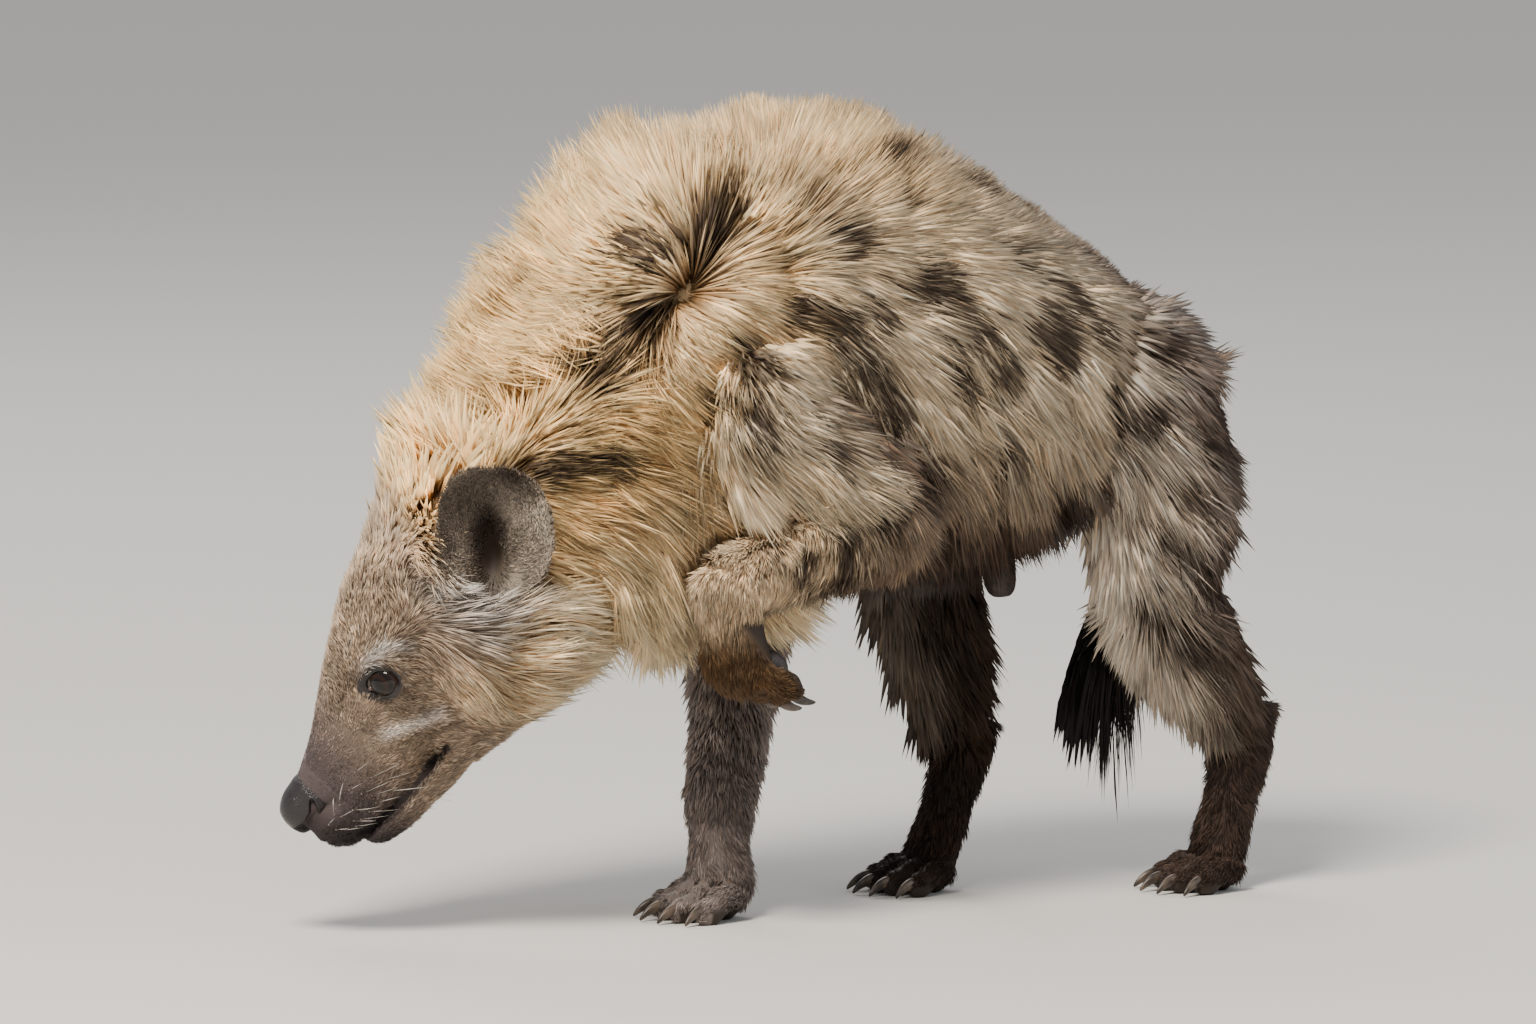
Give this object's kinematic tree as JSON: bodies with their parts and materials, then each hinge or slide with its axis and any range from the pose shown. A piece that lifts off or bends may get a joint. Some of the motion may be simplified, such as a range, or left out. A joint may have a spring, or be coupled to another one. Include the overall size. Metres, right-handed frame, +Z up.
{
  "type": "spotted hyena",
  "caption": "Life-size still model of a young spotted hyena, head low to sniff, one forefoot raised, with a shaggy spotted coat and an upright mane.",
  "frame": {"origin": "middle of the bounding box, on the floor the feet stand on", "axes": "-X is the way the animal faces, -Y its left side, +Z up"},
  "size_m": [0.7488, 0.261, 0.5733],
  "materials": {
    "claw": "horn",
    "eye": "wet and glossy",
    "face_fur": "short flat fur",
    "foot_fur": "short fur over bare pads",
    "leg_fur": "fur of middle length",
    "neck_coat": "long shaggy fur, spotted",
    "nose": "moist, finely grained skin",
    "sheath_skin": "bare skin",
    "tail_coat": "long coarse hair",
    "torso_coat": "long shaggy fur, spotted"
  },
  "bodies": {
    "root": {"head": "face_fur", "lower_jaw": "face_fur", "nose": "nose", "eye_left": "eye", "ear_left": "face_fur", "eye_right": "eye", "ear_right": "face_fur", "torso": "torso_coat", "neck": "neck_coat", "tail": "tail_coat", "foreleg_left_upper": "leg_fur", "foreleg_left_lower": "leg_fur", "forefoot_left": "foot_fur", "hindleg_left_thigh": "leg_fur", "hindleg_left_shank": "leg_fur", "hindfoot_left": "foot_fur", "claw_forefoot_left_1": "claw", "claw_forefoot_left_2": "claw", "claw_forefoot_left_3": "claw", "claw_forefoot_left_4": "claw", "claw_hindfoot_left_1": "claw", "claw_hindfoot_left_2": "claw", "claw_hindfoot_left_3": "claw", "claw_hindfoot_left_4": "claw", "foreleg_right_upper": "leg_fur", "foreleg_right_lower": "leg_fur", "forefoot_right": "foot_fur", "hindleg_right_thigh": "leg_fur", "hindleg_right_shank": "leg_fur", "hindfoot_right": "foot_fur", "claw_forefoot_right_1": "claw", "claw_forefoot_right_2": "claw", "claw_forefoot_right_3": "claw", "claw_forefoot_right_4": "claw", "claw_hindfoot_right_1": "claw", "claw_hindfoot_right_2": "claw", "claw_hindfoot_right_3": "claw", "claw_hindfoot_right_4": "claw", "sheath": "sheath_skin"}
  },
  "joints": []
}
